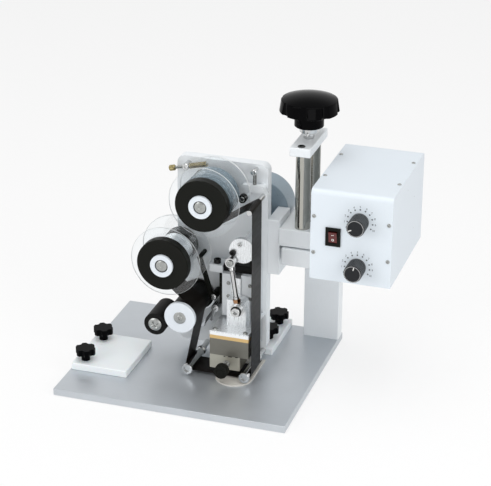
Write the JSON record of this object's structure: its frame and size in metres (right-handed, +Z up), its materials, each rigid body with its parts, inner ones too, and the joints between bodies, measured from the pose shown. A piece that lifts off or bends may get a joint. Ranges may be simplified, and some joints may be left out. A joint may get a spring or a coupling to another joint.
{
  "type": "desktop ribbon date coding machine",
  "caption": "Desktop hot stamping coder: base plate, column and lift screw carry a head with ribbon spools, rollers and a heated type block, and a control box at its side.",
  "frame": {"origin": "centre of the base plate's underside", "axes": "+Z up, +X towards the control box, +Y towards the column at the back"},
  "size_m": [0.4265, 0.28, 0.3855],
  "materials": {
    "base_aluminium": "brushed, clear anodised",
    "frame_aluminium": "milled, clear anodised",
    "ground_steel": "ground",
    "polished_steel": "polished",
    "black_phenolic": "gloss",
    "black_plastic": "satin",
    "white_nylon": "satin",
    "white_plastic": "satin",
    "clear_acrylic": "clear",
    "ribbon_film": "film",
    "wound_foil": "wound film edge",
    "black_rubber": "smooth",
    "pad_rubber": "smooth silicone",
    "amber_board": "resin board",
    "heater_brass": "milled, heat stained",
    "type_steel": "milled",
    "powder_coat": "fine satin",
    "motor_steel": "satin",
    "red_rocker": "translucent gloss",
    "fitting_brass": "turned brass"
  },
  "bodies": {
    "frame": {"base_plate": "base_aluminium", "column": "frame_aluminium", "rod_seat": "frame_aluminium", "front_rod": "ground_steel", "rear_rod": "ground_steel", "top_bracket": "frame_aluminium", "left_guide_block": "white_nylon", "right_guide_block": "white_nylon", "clamp_knobs": "black_phenolic", "print_pad": "pad_rubber"},
    "lift_screw": {"lead_screw": "ground_steel", "handwheel": "black_phenolic"},
    "head": {"carriage": "frame_aluminium", "mount_block": "frame_aluminium", "main_plate": "frame_aluminium", "drive_motor": "motor_steel", "motor_gearbox": "motor_steel", "left_rail": "frame_aluminium", "right_rail": "frame_aluminium", "upper_guide_pin": "polished_steel", "lower_left_pin": "polished_steel", "lower_right_pin": "polished_steel", "ribbon": "ribbon_film", "roller_arm": "frame_aluminium", "box_cover": "powder_coat", "box_chassis": "powder_coat", "switch_bezel": "black_plastic", "slide_bumper": "black_rubber", "feed_block": "frame_aluminium", "feed_bar": "black_plastic", "feed_lever": "black_plastic", "fork_lever": "polished_steel", "guide_arm": "frame_aluminium", "guide_pulley": "black_plastic", "guide_spring": "polished_steel", "brake_screw": "fitting_brass"},
    "supply_spool": {"supply_cap": "black_plastic", "supply_hub": "white_plastic", "supply_front_disc": "clear_acrylic", "supply_rear_disc": "clear_acrylic", "supply_ribbon": "wound_foil"},
    "takeup_spool": {"takeup_cap": "black_plastic", "takeup_hub": "white_plastic", "takeup_front_disc": "clear_acrylic", "takeup_rear_disc": "clear_acrylic", "takeup_ribbon": "ribbon_film"},
    "feed_drum": {"feed_drum": "black_rubber", "feed_disc": "white_plastic"},
    "pinch_roller": {"pinch_roller": "black_rubber"},
    "crank": {"crank_disc": "polished_steel"},
    "print_head": {"print_slide": "polished_steel", "insulator": "white_plastic", "amber_plate": "amber_board", "heater_block": "heater_brass", "type_holder": "type_steel"},
    "connecting_rod": {"connecting_rod": "polished_steel"},
    "type_knob": {"type_knob": "black_plastic"},
    "upper_dial": {"upper_dial": "black_plastic"},
    "lower_dial": {"lower_dial": "black_plastic"},
    "switch_rocker": {"switch_rocker": "red_rocker"}
  },
  "joints": [
    {"name": "handwheel_turn", "type": "hinge", "parent": "frame", "child": "lift_screw", "pos_m": [0.126, 0.0655, 0.325], "axis": [0, 0, 1], "range_deg": [0, 5400]},
    {"name": "head_lift", "type": "slide", "parent": "frame", "child": "head", "axis": [0, 0, 1], "range_m": [0, 0.045]},
    {"name": "supply_spin", "type": "hinge", "parent": "head", "child": "supply_spool", "pos_m": [0.0178, 0, 0.2605], "axis": [0, -1, 0], "continuous": true},
    {"name": "takeup_spin", "type": "hinge", "parent": "head", "child": "takeup_spool", "pos_m": [-0.036, 0, 0.17], "axis": [0, -1, 0], "continuous": true},
    {"name": "drum_spin", "type": "hinge", "parent": "head", "child": "feed_drum", "pos_m": [-0.015, 0, 0.093], "axis": [0, -1, 0], "continuous": true},
    {"name": "roller_spin", "type": "hinge", "parent": "head", "child": "pinch_roller", "pos_m": [-0.053, 0, 0.074], "axis": [0, -1, 0], "continuous": true},
    {"name": "crank_turn", "type": "hinge", "parent": "head", "child": "crank", "pos_m": [0.0605, 0, 0.187], "axis": [0, -1, 0], "range_deg": [0, 24]},
    {"name": "print_stroke", "type": "slide", "parent": "head", "child": "print_head", "axis": [0, 0, -1], "range_m": [0, 0.0047]},
    {"name": "rod_swing", "type": "hinge", "parent": "print_head", "child": "connecting_rod", "pos_m": [0.0575, -0.02, 0.105], "axis": [0, 1, 0], "range_deg": [0, 6.13]},
    {"name": "type_knob_turn", "type": "hinge", "parent": "print_head", "child": "type_knob", "pos_m": [0.048, -0.06, 0.031], "axis": [0, -1, 0], "continuous": true},
    {"name": "upper_dial_turn", "type": "hinge", "parent": "head", "child": "upper_dial", "pos_m": [0.2243, -0.05, 0.262], "axis": [0, -1, 0], "range_deg": [-150, 150]},
    {"name": "lower_dial_turn", "type": "hinge", "parent": "head", "child": "lower_dial", "pos_m": [0.2224, -0.05, 0.1993], "axis": [0, -1, 0], "range_deg": [-150, 150]},
    {"name": "switch_rock", "type": "hinge", "parent": "head", "child": "switch_rocker", "pos_m": [0.19, -0.04, 0.2365], "axis": [-1, 0, 0], "range_deg": [0, 14]}
  ],
  "couplings": [
    {"joint": "handwheel_turn", "follows": "head_lift", "rad_per_m": 2094.4},
    {"joint": "crank_turn", "follows": "print_stroke", "rad_per_m": 89.123},
    {"joint": "rod_swing", "follows": "print_stroke", "rad_per_m": 22.764}
  ]
}
